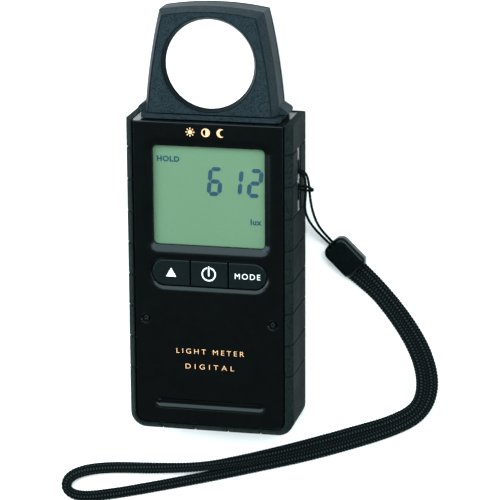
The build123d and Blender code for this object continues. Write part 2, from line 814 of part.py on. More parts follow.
def diffuser_ring():
    """The round rim that holds the disc: its front slopes in to the disc, and it has a ledge behind it."""
    top = head_front + ring_proud
    low = head_front - ring_depth
    floor = head_front - disc_recess - 0.2
    shape = post(0, disc_y, ring_radius, low, top)
    shape -= post(0, disc_y, disc_radius + 0.05, low + 0.6, top + 1)
    shape -= post(0, disc_y, disc_radius - disc_ledge, low - 1, top)
    slope = Cone(disc_radius + 0.05, ring_radius - ring_edge, top - floor)
    return shape - Pos(0, disc_y, (top + floor) / 2) * slope


def diffuser_disc():
    """The white light-collecting disc."""
    high = head_front - disc_recess
    low = head_front - ring_depth + 0.6
    shape = post(0, disc_y, disc_radius, low, high)
    rim = shape.edges().filter_by(GeomType.CIRCLE).sort_by(Axis.Z)[-1]
    return fillet(rim, 0.25)


def sensor_board():
    """The round board behind the disc."""
    return post(0, disc_y, sensor_board_radius, sensor_board_level, sensor_board_level + board_thickness)


def photodiode():
    """The light sensor in its round can."""
    low = sensor_board_level + board_thickness
    return post(0, disc_y, 4.6, low, low + 0.6) + post(0, disc_y, 4.1, low + 0.5, low + 2.0)


def filter_holder():
    """The black tube round the sensor, with a step for the filter."""
    low = sensor_board_level + board_thickness
    shape = post(0, disc_y, holder_radius, low, holder_top)
    shape -= post(0, disc_y, filter_radius - 0.7, low - 1, holder_top + 1)
    return shape - post(0, disc_y, filter_radius, filter_level, holder_top + 1)


def filter_glass():
    """The colour-correcting filter in front of the sensor."""
    return post(0, disc_y, filter_radius, filter_level, filter_level + 2.0)


# ---- wrist strap ----
# The thin cord starts in the end cap, goes up to the eyelet, behind the bridge and back round itself, and returns.
cord_points = [
    (39.6, -10.6, 2.7), (37.5, -8.4, 2.8), (35.5, -6.0, 3.6), (34.0, -3.3, 5.2), (33.1, -0.2, 7.2), (32.6, 3.0, 9.1),
    (32.3, 6.2, 10.7), (32.1, 9.6, 11.7), (31.9, 13.2, 12.1), (31.2, 16.5, 12.3), (29.4, 17.9, 12.15),
    (25.6, 17.6, 12.1), (25.6, 12.3, 12.05), (28.6, 12.2, 12.15), (30.8, 12.6, 13.4), (32.6, 12.1, 13.1),
    (33.3, 11.2, 11.8), (32.6, 10.4, 10.5), (30.4, 10.4, 10.3), (28.4, 10.9, 11.0), (25.6, 11.0, 11.0),
    (25.6, 16.9, 11.05), (28.8, 16.9, 11.3), (30.4, 15.6, 11.9), (30.8, 12.9, 11.9), (30.7, 9.2, 11.5),
    (30.2, 6.0, 10.5), (30.0, 2.9, 9.0), (30.7, -0.4, 7.5), (32.3, -3.6, 5.8), (34.2, -6.4, 4.1), (36.1, -8.7, 3.0),
    (38.0, -10.5, 2.7), (39.7, -12.2, 2.7)]
# The flat braid starts in the end cap, runs out to the far end of the loop and comes back beside itself.
tape_points = [
    (45.2, -14.9, 2.4), (54.6, -24.2, 1.6), (63.6, -34.9, 1.6), (70.2, -45.4, 1.6), (73.4, -56.2, 1.6),
    (72.0, -65.0, 1.6), (67.2, -71.4, 1.6), (57.6, -76.6, 1.6), (44.0, -82.0, 1.6), (29.0, -87.4, 1.6),
    (12.0, -92.4, 1.6), (-6.0, -97.6, 1.6), (-24.0, -102.4, 1.6), (-40.0, -106.5, 1.6), (-52.5, -108.9, 1.6),
    (-58.2, -107.0, 1.6), (-58.0, -102.2, 1.6), (-52.6, -98.6, 1.6), (-42.0, -96.6, 1.6), (-26.0, -95.6, 1.6),
    (-9.0, -94.0, 1.6), (6.0, -90.4, 1.6), (21.0, -86.0, 1.6), (35.5, -81.0, 1.6), (47.0, -76.8, 1.6),
    (57.6, -73.0, 1.6), (66.3, -68.1, 1.6), (69.3, -62.0, 1.6), (69.0, -53.6, 1.6), (65.4, -44.0, 1.6),
    (58.2, -33.2, 1.6), (51.0, -25.0, 1.6), (42.0, -18.1, 2.4)]


def strap_tube(points, diameter, name):
    """A plain tube along straight runs with the largest round bends that they allow."""
    spots = [Vector(*p) for p in points]
    runs = [b - a for a, b in zip(spots, spots[1:])]
    radii = []
    for before, after in zip(runs, runs[1:]):
        turn = math.radians(before.get_angle(after))
        radii.append(bend_share * min(before.length, after.length) / math.tan(turn / 2))
    line = FilletPolyline(*points, radius=radii)
    start = Plane(origin=line @ 0, z_dir=line % 0)
    tube = sweep(start * Circle(diameter / 2), path=line)
    length = line.length
    section = math.pi * diameter ** 2 / 4
    print(name, "length", round(length, 1), "tightest bend", round(min(radii), 2), "turns up to",
          round(max(a.get_angle(b) for a, b in zip(runs, runs[1:])), 1), "volume", round(tube.volume, 1),
          "section x length", round(section * length, 1))
    print("  bends", [round(r, 1) for r in radii])
    return tube


def strap_end_cap():
    """The moulded cap that joins the thin cord to the braid: rounded at the cord's end, with a notch for it."""
    near = Vector(37.9, -9.3)
    far = Vector(47.2, -18.5)
    middle = (near + far) * 0.5
    turn = math.degrees(math.atan2(far.Y - near.Y, far.X - near.X))
    shape = Box(cap_length, cap_width, cap_height)
    corners = shape.edges().filter_by(Axis.Z).sort_by(Axis.X)
    shape = fillet(corners[:2], cap_width * 0.3)
    shape = chamfer(shape.edges().filter_by(Axis.Z).sort_by(Axis.X)[-2:], cap_corner)
    rims = [edge for edge in shape.edges() if abs(edge.center().Z) > cap_height / 2 - 0.1]
    shape = fillet(rims, cap_round)
    shape -= Pos(-cap_length / 2, 0, cap_height / 2) * Box(2 * notch_depth, notch_width, 2 * notch_drop)
    return Pos(middle.X, middle.Y, cap_height / 2 + 0.1) * Rot(0, 0, turn) * shape


split = button_split / 2
end = pill_length / 2 + 1 + flange_reach
nodes = {
    "case_body": case_body(),
    "rear_cover": rear_cover(),
    "rubber_guard": rubber_guard(),
    "battery_door": battery_door(),
    "battery_cells": battery_cells(),
    "battery_springs": battery_springs(),
    "battery_contacts": battery_contacts(),
    "rear_screws": rear_screws(),
    "front_screws": front_screws(),
    "main_board": main_board(),
    "controller_chip": controller_chip(),
    "board_components": board_components(),
    "lead_connector": lead_connector(),
    "tact_switches": tact_switches(),
    "up_button": button(-end, -split),
    "power_button": button(-split, split),
    "mode_button": button(split, end),
    "display_window": display_window(),
    "lcd_panel": lcd_panel(),
    "lcd_holder": lcd_holder(),
    "lcd_reflector": lcd_reflector(),
    "zebra_strips": zebra_strips(),
    "swivel_foot": swivel_foot(),
    "swivel_washer": swivel_washer(),
    "retaining_clip": retaining_clip(),
    "sensor_lead": sensor_lead(),
    "head_front_shell": head_front_shell(),
    "head_rear_shell": head_rear_shell(),
    "head_screws": head_screws(),
    "diffuser_ring": diffuser_ring(),
    "diffuser_disc": diffuser_disc(),
    "sensor_board": sensor_board(),
    "photodiode": photodiode(),
    "filter_holder": filter_holder(),
    "filter_glass": filter_glass(),
    "strap_cord": strap_tube(cord_points, cord_diameter, "strap_cord"),
    "strap_end_cap": strap_end_cap(),
    "wrist_tape": strap_tube(tape_points, tape_diameter, "wrist_tape"),
}

os.makedirs("parts", exist_ok=True)
for name, shape in nodes.items():
    whole = Compound(children=shape) if isinstance(shape, list) else shape
    export_step(whole, "parts/" + name + ".step")
print(len(nodes), "nodes")
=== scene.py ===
import math

import bmesh
import bpy
from mathutils import Matrix, Vector


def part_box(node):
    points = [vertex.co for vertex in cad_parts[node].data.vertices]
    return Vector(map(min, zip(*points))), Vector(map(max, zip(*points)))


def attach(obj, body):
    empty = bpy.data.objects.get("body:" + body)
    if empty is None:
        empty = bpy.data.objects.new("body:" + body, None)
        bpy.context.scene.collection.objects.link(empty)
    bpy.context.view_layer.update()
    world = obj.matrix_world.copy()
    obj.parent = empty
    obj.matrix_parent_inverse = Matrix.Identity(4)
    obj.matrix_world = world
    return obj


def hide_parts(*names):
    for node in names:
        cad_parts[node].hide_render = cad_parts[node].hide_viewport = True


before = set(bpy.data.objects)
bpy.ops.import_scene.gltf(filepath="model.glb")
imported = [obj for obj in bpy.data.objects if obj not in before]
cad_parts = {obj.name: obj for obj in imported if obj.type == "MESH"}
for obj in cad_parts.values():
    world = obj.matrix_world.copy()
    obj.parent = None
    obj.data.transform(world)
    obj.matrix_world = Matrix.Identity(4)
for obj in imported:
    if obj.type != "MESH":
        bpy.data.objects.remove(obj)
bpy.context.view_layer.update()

MM = 0.001          # lengths are given in millimetres and multiplied by this
scene = bpy.context.scene
scene.view_settings.view_transform = "Standard"

# ---------------------------------------------------------------- camera

CAMERA_PLACE = (207.71, 241.76, 893.57)
CAMERA_AHEAD = (-0.20913, -0.26944, -0.94003)
CAMERA_UPRIGHT = (-0.05350, 0.96300, -0.26412)
SENSOR_WIDTH = 36.0
FOCAL_LENGTH = 199.6
NEAREST, FARTHEST = 0.05, 20.0      # metres that the camera sees between


def make_camera():
    """A long lens above the meter, a little to its right."""
    data = bpy.data.cameras.new("camera")
    data.sensor_width = SENSOR_WIDTH
    data.lens = FOCAL_LENGTH
    data.clip_start = NEAREST
    data.clip_end = FARTHEST
    camera = bpy.data.objects.new("camera", data)
    scene.collection.objects.link(camera)
    ahead = Vector(CAMERA_AHEAD).normalized()
    right = ahead.cross(Vector(CAMERA_UPRIGHT)).normalized()
    up = right.cross(ahead)
    turn = Matrix((right, up, -ahead)).transposed().to_4x4()
    camera.matrix_world = Matrix.Translation(Vector(CAMERA_PLACE) * MM) @ turn
    scene.camera = camera


make_camera()

# ---------------------------------------------------------------- strap: thin cord and flat braid

CORD_WIDTH = 0.9
CORD_LAY = 2.6              # length along the cord of one turn of its two plies
PLY_DEPTH = 0.16            # share of the cord's radius that the gap between its plies goes in
CORD_ROWS = 6               # rows of yarn round the cord
CORD_PITCH = 0.6
CORD_STEP = 0.15            # length of one step of the cord's mesh
CORD_SIDES = 16
BRAID_WIDTH = 4.1
BRAID_THICKNESS = 2.0
BRAID_ROWS = 10             # rows of yarn round the braid
BRAID_PITCH = 1.1           # length of one yarn top
YARN_DEPTH = 0.2            # share of the braid's section that the gaps between yarns go in
BRAID_EDGE = 0.9            # past this share of its half width, the gaps are half as deep
SIDE_SQUARE = 0.75          # both below 1, which squares off the braid's round section
TOP_SQUARE = 0.85
BRAID_STEP = 0.23
BRAID_SIDES = 48
BRAID_LIFT = 0.03           # clearance over the surface that the braid lies on
BRAID_END = 12.0            # length at each end over which the braid comes down from the cap
BRAID_LEANS = ((58, 252, 26), (22, 206, 9), (-14, 60, 28))      # degrees, distance along, spread
UV_LENGTH = 10.0            # length along a cord that one unit of its UV map covers
STEEP = 0.2                 # a run whose level share is below this keeps the side that it had

CORD_POINTS = [
    (39.6, -10.6, 2.7), (37.5, -8.4, 2.8), (35.5, -6.0, 3.6), (34.0, -3.3, 5.2), (33.1, -0.2, 7.2),
    (32.6, 3.0, 9.1), (32.3, 6.2, 10.7), (32.1, 9.6, 11.7), (31.9, 13.2, 12.1), (31.2, 16.5, 12.3),
    (29.4, 17.9, 12.15), (25.6, 17.6, 12.1), (25.6, 12.3, 12.05), (28.6, 12.2, 12.15), (30.8, 12.6, 13.4),
    (32.6, 12.1, 13.1), (33.3, 11.2, 11.8), (32.6, 10.4, 10.5), (30.4, 10.4, 10.3), (28.4, 10.9, 11.0),
    (25.6, 11.0, 11.0), (25.6, 16.9, 11.05), (28.8, 16.9, 11.3), (30.4, 15.6, 11.9), (30.8, 12.9, 11.9),
    (30.7, 9.2, 11.5), (30.2, 6.0, 10.5), (30.0, 2.9, 9.0), (30.7, -0.4, 7.5), (32.3, -3.6, 5.8),
    (34.2, -6.4, 4.1), (36.1, -8.7, 3.0), (38.0, -10.5, 2.7), (39.7, -12.2, 2.7)]
BRAID_POINTS = [
    (45.2, -14.9, 2.4), (54.6, -24.2, 1.6), (63.6, -34.9, 1.6), (70.2, -45.4, 1.6), (73.4, -56.2, 1.6),
    (72.0, -65.0, 1.6), (67.2, -71.4, 1.6), (57.6, -76.6, 1.6), (44.0, -82.0, 1.6), (29.0, -87.4, 1.6),
    (12.0, -92.4, 1.6), (-6.0, -97.6, 1.6), (-24.0, -102.4, 1.6), (-40.0, -106.5, 1.6), (-52.5, -108.9, 1.6),
    (-58.2, -107.0, 1.6), (-58.0, -102.2, 1.6), (-52.6, -98.6, 1.6), (-42.0, -96.6, 1.6), (-26.0, -95.6, 1.6),
    (-9.0, -94.0, 1.6), (6.0, -90.4, 1.6), (21.0, -86.0, 1.6), (35.5, -81.0, 1.6), (47.0, -76.8, 1.6),
    (57.6, -73.0, 1.6), (66.3, -68.1, 1.6), (69.3, -62.0, 1.6), (69.0, -53.6, 1.6), (65.4, -44.0, 1.6),
    (58.2, -33.2, 1.6), (51.0, -25.0, 1.6), (42.0, -18.1, 2.4)]


def evaluated_mesh(shape):
    """The mesh that a curve or a text object makes."""
    return bpy.data.meshes.new_from_object(shape.evaluated_get(bpy.context.evaluated_depsgraph_get()))


def link_piece(name, data):
    """A new object in the scene for a mesh, a curve or a lamp."""
    piece = bpy.data.objects.new(name, data)
    scene.collection.objects.link(piece)
    return piece


def smooth_line(points):
    """The points of a smooth line that the route's points pull along, in metres."""
    data = bpy.data.curves.new("route", "CURVE")
    data.dimensions = "3D"
    data.resolution_u = 16
    spline = data.splines.new("NURBS")
    spline.points.add(len(points) - 1)
    for spot, (x, y, z) in zip(spline.points, points):
        spot.co = (x * MM, y * MM, z * MM, 1.0)
    spline.order_u = 3
    spline.use_endpoint_u = True
    route = link_piece("route", data)
    mesh = evaluated_mesh(route)
    line = [vertex.co.copy() for vertex in mesh.vertices]
    bpy.data.meshes.remove(mesh)
    bpy.data.objects.remove(route)
    bpy.data.curves.remove(data)
    return line


def even_steps(line, step):
    """The same line in even steps, with the distance along it to each of them."""
    reach = [0.0]
    for a, b in zip(line, line[1:]):
        reach.append(reach[-1] + (b - a).length)
    count = int(reach[-1] / step)
    spots, along, i = [], [], 0
    for k in range(count + 1):
        s = reach[-1] * k / count
        while i < len(line) - 2 and reach[i + 1] < s:
            i += 1
        share = (s - reach[i]) / max(reach[i + 1] - reach[i], 1e-9)
        spots.append(line[i].lerp(line[i + 1], min(max(share, 0.0), 1.0)))
        along.append(s)
    return spots, along


def sweep_mesh(name, spots, along, around, section, roll):
    """A closed tube whose section may change as it goes. Its UV map is length along and share of the girth."""
    shape = bmesh.new()
    uv = shape.loops.layers.uv.new("UVMap")
    rings = []
    last = len(spots) - 1
    side = None
    for k, spot in enumerate(spots):
        ahead = (spots[min(k + 1, last)] - spots[max(k - 1, 0)]).normalized()
        level = ahead.cross(Vector((0, 0, 1)))
        before = side
        side = level.normalized() if before is None else before
        side = (side - ahead * side.dot(ahead)).normalized()
        if roll is not None and level.length > STEEP:
            side = level.normalized()
            if before is not None and side.dot(before) < 0:
                side.negate()
        upward = side.cross(ahead)
        lean = roll(along[k]) if roll else 0.0
        across = side * math.cos(lean) + upward * math.sin(lean)
        over = upward * math.cos(lean) - side * math.sin(lean)
        rings.append([shape.verts.new(spot + across * a + over * b)
                      for a, b in (section(along[k], j / around) for j in range(around))])
    for k in range(last):
        for j in range(around):
            n = (j + 1) % around
            face = shape.faces.new((rings[k][j], rings[k][n], rings[k + 1][n], rings[k + 1][j]))
            face.smooth = True
            for loop, (s, t) in zip(face.loops, ((k, j), (k, j + 1), (k + 1, j + 1), (k + 1, j))):
                loop[uv].uv = (along[s] / MM / UV_LENGTH, t / around)
    shape.faces.new(list(reversed(rings[0])))
    shape.faces.new(rings[-1])
    bmesh.ops.recalc_face_normals(shape, faces=shape.faces[:])
    mesh = bpy.data.meshes.new(name)
    shape.to_mesh(mesh)
    shape.free()
    return link_piece(name, mesh)


def braid_roll(s):
    """How far the flat braid leans over, by the distance along it: most where the loop comes back."""
    return math.radians(sum(lean * math.exp(-((s / MM - centre) / width) ** 2)
                            for lean, centre, width in BRAID_LEANS))


def braid_section(s, share):
    """The braid's flat rounded section, raised where each yarn comes over the next."""
    turn = 2 * math.pi * share
    c, d = math.cos(turn), math.sin(turn)
    half, thick = BRAID_WIDTH / 2, BRAID_THICKNESS / 2
    a = half * math.copysign(abs(c) ** SIDE_SQUARE, c)
    b = thick * math.copysign(abs(d) ** TOP_SQUARE, d)
    row = share * BRAID_ROWS
    k = math.floor(row)
    across = math.sin(math.pi * (row - k))
    run = abs(math.sin(math.pi * (s / MM / BRAID_PITCH + 0.5 * k)))
    rise = 1 - YARN_DEPTH + YARN_DEPTH * (across ** 0.7) * (run ** 0.8)
    return a * MM * (rise if abs(c) < BRAID_EDGE else (1 + rise) / 2), b * MM * rise


def cord_section(s, share):
    """The thin cord's round section, with two twisted plies."""
    turn = 2 * math.pi * share
    ply = abs(math.cos(turn - 2 * math.pi * s / (CORD_LAY * MM)))
    r = CORD_WIDTH / 2 * MM * (1 - PLY_DEPTH + PLY_DEPTH * ply)
    return r * math.cos(turn), r * math.sin(turn)


def lay_braid():
    """The braid lies on the surface, so its middle is as high as half its leaning section."""
    spots, along = even_steps(smooth_line(BRAID_POINTS), BRAID_STEP * MM)
    length = along[-1]
    for k, spot in enumerate(spots):
        lean = braid_roll(along[k])
        flat = abs(math.sin(lean)) * BRAID_WIDTH / 2 + abs(math.cos(lean)) * BRAID_THICKNESS / 2
        share = min(min(along[k], length - along[k]) / (BRAID_END * MM), 1.0)
        spot.z = spot.z * (1 - share) + (flat + BRAID_LIFT) * MM * share
    return spots, along


braid_spots, braid_along = lay_braid()
braid = sweep_mesh("wrist_braid", braid_spots, braid_along, BRAID_SIDES, braid_section, braid_roll)
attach(braid, "meter_body")
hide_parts("wrist_tape")

cord_spots, cord_along = even_steps(smooth_line(CORD_POINTS), CORD_STEP * MM)
cord = sweep_mesh("strap_thin_cord", cord_spots, cord_along, CORD_SIDES, cord_section, None)
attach(cord, "meter_body")
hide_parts("strap_cord")

# ---------------------------------------------------------------- shared effects


def new_group(name, inputs, outputs):
    """An empty effect with named sockets."""
    tree = bpy.data.node_groups.new(name, "ShaderNodeTree")
    for label, kind, value in inputs:
        tree.interface.new_socket(label, in_out="INPUT", socket_type=kind).default_value = value
    for label, kind in outputs:
        tree.interface.new_socket(label, in_out="OUTPUT", socket_type=kind)
    return tree, tree.nodes.new("NodeGroupInput"), tree.nodes.new("NodeGroupOutput")


def add_math(tree, kind, a, b=0.5, clamp=False):
    """One arithmetic step between two sockets or numbers."""
    node = tree.nodes.new("ShaderNodeMath")
    node.operation = kind
    node.use_clamp = clamp
    for socket, value in zip(node.inputs, (a, b)):
        if isinstance(value, (int, float)):
            socket.default_value = value
        else:
            tree.links.new(value, socket)
    return node.outputs[0]


def map_range(tree, value, **limits):
    """A value moved from one range to another: the limits are from_min, from_max, to_min and to_max."""
    node = tree.nodes.new("ShaderNodeMapRange")
    for label, limit in limits.items():
        node.inputs[label.replace("_", " ").title()].default_value = limit
    tree.links.new(value, node.inputs["Value"])
    return node.outputs["Result"]


HILL_SHARE, PIT_SHARE, TONE_SHARE = 0.7, 0.5, 0.55      # of the grain's height and of its specks
STREAK_FINENESS = 14.0      # how much finer the dusty streaks are than the patches


def fine_grain():
    """A spark-eroded mould texture: small pits and hills. Size is in millimetres."""
    tree, start, end = new_group("fine grain", [("Size", "NodeSocketFloat", 0.25)],
                                 [("Height", "NodeSocketFloat"), ("Speck", "NodeSocketFloat")])
    place = tree.nodes.new("ShaderNodeTexCoord")
    scale = add_math(tree, "DIVIDE", 1 / MM, start.outputs["Size"])
    noise = tree.nodes.new("ShaderNodeTexNoise")
    noise.inputs["Detail"].default_value = 3.0
    noise.inputs["Roughness"].default_value = 0.6
    cells = tree.nodes.new("ShaderNodeTexVoronoi")
    for node in (noise, cells):
        tree.links.new(place.outputs["Object"], node.inputs["Vector"])
        tree.links.new(scale, node.inputs["Scale"])
    hills = add_math(tree, "MULTIPLY", noise.outputs["Fac"], HILL_SHARE)
    pits = add_math(tree, "MULTIPLY", cells.outputs["Distance"], PIT_SHARE)
    tree.links.new(add_math(tree, "ADD", hills, pits), end.inputs["Height"])
    shade = tree.nodes.new("ShaderNodeSeparateColor")
    tree.links.new(cells.outputs["Color"], shade.inputs[0])
    tones = add_math(tree, "MULTIPLY", shade.outputs[0], TONE_SHARE)
    uneven = add_math(tree, "ADD", tones, hills)
    tree.links.new(map_range(tree, uneven, from_min=0.36, from_max=0.78), end.inputs["Speck"])
    return tree


def handling_marks():
    """Broad soft patches where hands have changed the shine, and finer dusty streaks."""
    tree, start, end = new_group("handling marks", [("Size", "NodeSocketFloat", 18.0)],
                                 [("Patches", "NodeSocketFloat"), ("Dust", "NodeSocketFloat")])
    place = tree.nodes.new("ShaderNodeTexCoord")
    scale = add_math(tree, "DIVIDE", 1 / MM, start.outputs["Size"])
    broad = tree.nodes.new("ShaderNodeTexNoise")
    broad.inputs["Detail"].default_value = 4.0
    fine = tree.nodes.new("ShaderNodeTexNoise")
    fine.inputs["Detail"].default_value = 6.0
    fine.inputs["Distortion"].default_value = 0.4
    tree.links.new(place.outputs["Object"], broad.inputs["Vector"])
    tree.links.new(place.outputs["Object"], fine.inputs["Vector"])
    tree.links.new(scale, broad.inputs["Scale"])
    tree.links.new(add_math(tree, "MULTIPLY", scale, STREAK_FINENESS), fine.inputs["Scale"])
    tree.links.new(map_range(tree, broad.outputs["Fac"], from_min=0.38, from_max=0.66), end.inputs["Patches"])
    tree.links.new(map_range(tree, fine.outputs["Fac"], from_min=0.62, from_max=0.78), end.inputs["Dust"])
    return tree


def worn_edges():
    """Rounded corners for light to catch, and a mask that is white on them. Radius is in millimetres."""
    tree, start, end = new_group("worn edges", [("Radius", "NodeSocketFloat", 0.2)],
                                 [("Normal", "NodeSocketVector"), ("Edge", "NodeSocketFloat")])
    soft = tree.nodes.new("ShaderNodeBevel")
    soft.samples = 6
    tree.links.new(add_math(tree, "MULTIPLY", start.outputs["Radius"], MM), soft.inputs["Radius"])
    shape = tree.nodes.new("ShaderNodeNewGeometry")
    match = tree.nodes.new("ShaderNodeVectorMath")
    match.operation = "DOT_PRODUCT"
    tree.links.new(soft.outputs["Normal"], match.inputs[0])
    tree.links.new(shape.outputs["Normal"], match.inputs[1])
    tree.links.new(soft.outputs["Normal"], end.inputs["Normal"])
    tree.links.new(map_range(tree, match.outputs["Value"], from_min=0.995, from_max=0.86), end.inputs["Edge"])
    return tree


GRAIN, MARKS, EDGES = fine_grain(), handling_marks(), worn_edges()


def place_group(tree, group, **values):
    """One use of a shared effect, with its own values."""
    node = tree.nodes.new("ShaderNodeGroup")
    node.node_tree = group
    for label, value in values.items():
        node.inputs[label].default_value = value
    return node


MIX_SHARE, MIX_LOW, MIX_HIGH, MIX_RESULT = 0, 6, 7, 2      # the colour sockets of a mix node


def blend_colours(tree, share, low, high):
    """A mix of two colours by a mask. low may be a colour or a socket."""
    node = tree.nodes.new("ShaderNodeMix")
    node.data_type = "RGBA"
    tree.links.new(share, node.inputs[MIX_SHARE])
    for place, value in ((MIX_LOW, low), (MIX_HIGH, high)):
        if isinstance(value, tuple):
            node.inputs[place].default_value = (*value, 1.0)
        else:
            tree.links.new(value, node.inputs[place])
    return node.outputs[MIX_RESULT]


def new_material(name):
    """A new material, with its node tree and its shader."""
    material = bpy.data.materials.new(name)
    material.use_nodes = True
    return material, material.node_tree, material.node_tree.nodes["Principled BSDF"]


MARKS_SIZE = 16.0
EDGE_SHARE = 0.6                    # how much of the edge's tint shows
DUST_TINT = (0.035, 0.05, 0.05)     # added to a colour where dust lies
CASE_SHEEN = (0.78, 0.93, 1.0)
DARK_SHEEN = (0.75, 0.96, 1.0)


def moulding(name, colour, shine, patch=0.08, grain=0.25, depth=0.012, edge=0.2, edge_tint=1.5, speck=0.15,
             dust=0.06, metal=0.0, level=0.5, sheen_tint=DARK_SHEEN):
    """A moulded, coated or plated surface.

    colour is linear and shine is its roughness, which patch varies. grain, depth and edge are sizes in
    millimetres. edge_tint, speck and dust are how much the edges, the grain and dust change the colour.
    """
    material, tree, shader = new_material(name)
    shader.inputs["Metallic"].default_value = metal
    shader.inputs["Specular IOR Level"].default_value = level
    shader.inputs["Specular Tint"].default_value = (*sheen_tint, 1.0)
    texture = place_group(tree, GRAIN, Size=grain)
    marks = place_group(tree, MARKS, Size=MARKS_SIZE)
    edges = place_group(tree, EDGES, Radius=edge)
    light = tuple(min(c * (1 + speck * 2), 1.0) for c in colour)
    dark = tuple(c * (1 - speck) for c in colour)
    tint = blend_colours(tree, texture.outputs["Speck"], dark, light)
    worn = tuple(min(c * edge_tint, 1.0) for c in colour)
    tint = blend_colours(tree, add_math(tree, "MULTIPLY", edges.outputs["Edge"], EDGE_SHARE), tint, worn)
    dusty = tuple(min(c + d, 1.0) for c, d in zip(colour, DUST_TINT))
    tint = blend_colours(tree, add_math(tree, "MULTIPLY", marks.outputs["Dust"], dust), tint, dusty)
    tree.links.new(tint, shader.inputs["Base Color"])
    patches = map_range(tree, marks.outputs["Patches"], to_min=shine - patch / 2, to_max=shine + patch / 2)
    tree.links.new(patches, shader.inputs["Roughness"])
    bump = tree.nodes.new("ShaderNodeBump")
    bump.inputs["Strength"].default_value = 1.0
    bump.inputs["Distance"].default_value = depth * MM
    tree.links.new(texture.outputs["Height"], bump.inputs["Height"])
    tree.links.new(edges.outputs["Normal"], bump.inputs["Normal"])
    tree.links.new(bump.outputs["Normal"], shader.inputs["Normal"])
    return material


case_gloss = moulding("polished black case", (0.0015, 0.0018, 0.0019), 0.2, patch=0.03, grain=2.5,
                      depth=0.0004, edge=0.15, edge_tint=1.0, speck=0.05, dust=0.003, level=0.2,
                      sheen_tint=CASE_SHEEN)
cover_matte = moulding("textured black cover", (0.005, 0.007, 0.0075), 0.5, grain=0.3, depth=0.03, level=0.15)
guard_rubber = moulding("soft rubber guard", (0.0040, 0.0061, 0.0061), 0.7, patch=0.1, grain=0.3, depth=0.07,
                        edge_tint=1.6, speck=0.7, dust=0.02, level=0.025)
head_plastic = moulding("spark-textured head", (0.0088, 0.0134, 0.0164), 0.45, patch=0.06, grain=0.27,
                        depth=0.03, edge=0.14, edge_tint=1.4, speck=0.45, dust=0.02, level=0.02)
button_satin = moulding("satin button", (0.0022, 0.0040, 0.0042), 0.36, edge=0.3, level=0.16)
cap_satin = moulding("satin strap cap", (0.0012, 0.0021, 0.0021), 0.22, patch=0.1, grain=0.3, depth=0.008,
                     edge=0.3, edge_tint=1.0, level=0.1)
screw_black = moulding("blackened screw", (0.0012, 0.0016, 0.0018), 0.16, patch=0.05, grain=0.3, depth=0.004,
                       edge=0.12)
plated_steel = moulding("plated steel", (0.55, 0.56, 0.57), 0.28, metal=1.0, depth=0.004, edge=0.1,
                        edge_tint=1.2, speck=0.05)
board_green = moulding("green circuit board", (0.02, 0.11, 0.05), 0.35, grain=0.5, depth=0.01, edge=0.05)
chip_epoxy = moulding("moulded epoxy", (0.012, 0.012, 0.013), 0.45, grain=0.15, depth=0.01, edge=0.1)
white_nylon = moulding("white nylon", (0.72, 0.73, 0.70), 0.42, grain=0.3, depth=0.008, edge=0.15,
                       edge_tint=1.05, speck=0.03)
pink_strip = moulding("pink elastic strip", (0.55, 0.28, 0.3), 0.6, grain=0.2, depth=0.01, edge=0.1)
cell_foil = moulding("plain cell jacket", (0.08, 0.10, 0.14), 0.25, metal=0.5, grain=0.4, depth=0.003)
filter_green = moulding("green filter", (0.12, 0.35, 0.16), 0.08, grain=1.0, depth=0.001, edge=0.1)
lead_sheath = moulding("lead sheath", (0.012, 0.012, 0.012), 0.5, grain=0.3, depth=0.01, edge=0.1)
small_ink = moulding("dark small signs", (0.005, 0.042, 0.070), 0.4, grain=0.3, depth=0.002, edge=0.02)
ring_black = moulding("black disc rim", (0.0016, 0.0028, 0.0034), 0.3, patch=0.05, grain=0.3, depth=0.006,
                      edge=0.25, edge_tint=1.2, level=0.03)
disc_white = moulding("white diffusing disc", (0.93, 0.93, 0.93), 0.5, patch=0.05, grain=0.2, depth=0.004,
                      edge_tint=1.0, speck=0.01, dust=0.0)
copper_ink = moulding("copper ink", (0.80, 0.40, 0.20), 0.45, grain=0.12, depth=0.004, edge=0.02)
white_ink = moulding("white ink", (0.90, 0.92, 0.92), 0.45, grain=0.12, depth=0.004, edge=0.02, speck=0.05)
segment_ink = moulding("dark segments", (0.016, 0.048, 0.082), 0.4, grain=0.3, depth=0.002, edge=0.02)
display_green = moulding("display glass", (0.140, 0.240, 0.138), 0.3, patch=0.05, grain=0.35, depth=0.001,
                         edge=0.1, edge_tint=1.0, speck=0.02, dust=0.02)


def clear_window():
    """A thin clear sheet: nearly all of the light passes, and the rest is a clean reflection."""
    material, tree, shader = new_material("clear window")
    marks = place_group(tree, MARKS, Size=12.0)
    tree.links.new(blend_colours(tree, marks.outputs["Dust"], (0.02, 0.03, 0.03), (0.2, 0.22, 0.22)),
                   shader.inputs["Base Color"])
    tree.links.new(map_range(tree, marks.outputs["Patches"], to_min=0.03, to_max=0.1),
                   shader.inputs["Roughness"])
    tree.links.new(map_range(tree, marks.outputs["Dust"], to_min=0.10, to_max=0.14), shader.inputs["Alpha"])
    return material


def wave(tree, value):
    """A wave from 0 to 1 and back for each whole step of the value."""
    return add_math(tree, "ABSOLUTE", add_math(tree, "SINE", add_math(tree, "MULTIPLY", value, math.pi)))


FIBRE_SIZE = 0.12
FIBRE_HEIGHT = 0.4          # height of the fibres, as a share of the yarn's
FIBRE_TINT = 0.06
YARN_BUMP = 0.08
CREST_POWER = 5.0           # how narrow the painted highlight along a yarn's top is
GAP_ROUGHER = 0.2


